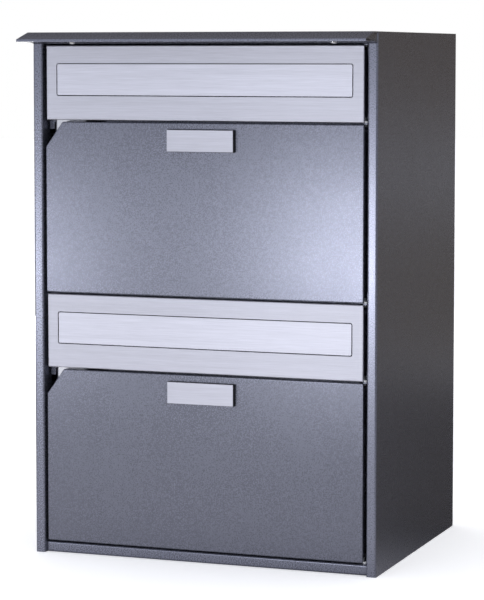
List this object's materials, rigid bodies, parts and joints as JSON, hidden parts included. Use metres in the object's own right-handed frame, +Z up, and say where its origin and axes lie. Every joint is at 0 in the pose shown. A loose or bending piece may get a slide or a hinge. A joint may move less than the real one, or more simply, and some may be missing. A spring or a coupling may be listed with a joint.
{
  "type": "cluster mailbox unit",
  "caption": "Stacked letterbox cabinet in folded sheet metal: lockable letter compartments with push-in slot flaps over open-access storage compartments with hinged doors.",
  "frame": {"origin": "middle of the base of the bounding box, on the surface that the cabinet stands on", "axes": "+Z up, -Y towards the front doors, +X to the right of someone facing the doors"},
  "size_m": [0.412, 0.366, 0.6],
  "materials": {
    "powder_coat": "fine-textured metallic grey powder coat on folded steel sheet",
    "brushed_aluminium": "horizontally brushed, clear anodised",
    "zinc_steel": "zinc-plated pressed steel",
    "lock_chrome": "polished chrome on die-cast zinc",
    "screw_steel": "bright dome-head screw",
    "black_plastic": "black moulded plastic, fine matte texture",
    "pale_plastic": "natural white moulded plastic"
  },
  "bodies": {
    "housing": {"side_panel_left": "powder_coat", "side_panel_right": "powder_coat", "roof_panel": "powder_coat", "rear_panel": "powder_coat", "base_panel": "powder_coat", "divider_shelf": "powder_coat", "roof_gusset_left": "powder_coat", "roof_gusset_right": "powder_coat", "roof_screw_left": "screw_steel", "roof_screw_right": "screw_steel", "pivot_bracket_1": "powder_coat", "pivot_pin_1": "zinc_steel", "pivot_bracket_2": "powder_coat", "pivot_pin_2": "zinc_steel", "pivot_bracket_3": "powder_coat", "pivot_pin_3": "zinc_steel", "pivot_bracket_4": "powder_coat", "pivot_pin_4": "zinc_steel", "pivot_bracket_5": "powder_coat", "pivot_pin_5": "zinc_steel", "letter_floor_lower": "powder_coat", "lock_bracket_lower": "zinc_steel", "lock_barrel_lower": "lock_chrome", "magnet_catch_lower": "black_plastic", "letter_floor_upper": "powder_coat", "lock_bracket_upper": "zinc_steel", "lock_barrel_upper": "lock_chrome", "magnet_catch_upper": "black_plastic"},
    "letter_door_lower": {"letter_door_lower": "brushed_aluminium", "flap_rod_lower": "zinc_steel", "flap_spring_lower": "zinc_steel", "flap_seal_lower": "black_plastic", "letter_bush_bottom_lower": "pale_plastic", "letter_bush_top_lower": "black_plastic", "lock_catch_lower": "zinc_steel"},
    "letter_flap_lower": {"letter_flap_lower": "brushed_aluminium"},
    "lock_lower": {"lock_plug_lower": "lock_chrome", "lock_cam_lower": "zinc_steel"},
    "storage_door_lower": {"storage_door_lower": "powder_coat", "name_holder_lower": "black_plastic", "name_plate_lower": "brushed_aluminium", "strike_plate_lower": "zinc_steel", "storage_bush_bottom_lower": "pale_plastic", "storage_bush_top_lower": "black_plastic"},
    "letter_door_upper": {"letter_door_upper": "brushed_aluminium", "flap_rod_upper": "zinc_steel", "flap_spring_upper": "zinc_steel", "flap_seal_upper": "black_plastic", "letter_bush_bottom_upper": "pale_plastic", "letter_bush_top_upper": "black_plastic", "lock_catch_upper": "zinc_steel"},
    "letter_flap_upper": {"letter_flap_upper": "brushed_aluminium"},
    "lock_upper": {"lock_plug_upper": "lock_chrome", "lock_cam_upper": "zinc_steel"},
    "storage_door_upper": {"storage_door_upper": "powder_coat", "name_holder_upper": "black_plastic", "name_plate_upper": "brushed_aluminium", "strike_plate_upper": "zinc_steel", "storage_bush_bottom_upper": "pale_plastic", "storage_bush_top_upper": "black_plastic"}
  },
  "joints": [
    {"name": "storage_door_swing_lower", "type": "hinge", "parent": "housing", "child": "storage_door_lower", "pos_m": [0.1924, -0.13625, 0.115], "axis": [0, 0, 1], "range_deg": [0, 105]},
    {"name": "letter_door_swing_lower", "type": "hinge", "parent": "housing", "child": "letter_door_lower", "pos_m": [0.1924, -0.13625, 0.25875], "axis": [0, 0, 1], "range_deg": [0, 105]},
    {"name": "letter_flap_push_lower", "type": "hinge", "parent": "letter_door_lower", "child": "letter_flap_lower", "pos_m": [0, -0.13225, 0.2769], "axis": [1, 0, 0], "range_deg": [0, 75], "stiffness_Nm_per_rad": 0.05, "springref_deg": -11.46},
    {"name": "lock_turn_lower", "type": "hinge", "parent": "housing", "child": "lock_lower", "pos_m": [-0.16, -0.11, 0.1888], "axis": [0, -1, 0], "range_deg": [0, 90]},
    {"name": "storage_door_swing_upper", "type": "hinge", "parent": "housing", "child": "storage_door_upper", "pos_m": [0.1924, -0.13625, 0.3992], "axis": [0, 0, 1], "range_deg": [0, 105]},
    {"name": "letter_door_swing_upper", "type": "hinge", "parent": "housing", "child": "letter_door_upper", "pos_m": [0.1924, -0.13625, 0.54295], "axis": [0, 0, 1], "range_deg": [0, 105]},
    {"name": "letter_flap_push_upper", "type": "hinge", "parent": "letter_door_upper", "child": "letter_flap_upper", "pos_m": [0, -0.13225, 0.5611], "axis": [1, 0, 0], "range_deg": [0, 75], "stiffness_Nm_per_rad": 0.05, "springref_deg": -11.46},
    {"name": "lock_turn_upper", "type": "hinge", "parent": "housing", "child": "lock_upper", "pos_m": [-0.16, -0.11, 0.473], "axis": [0, -1, 0], "range_deg": [0, 90]}
  ]
}
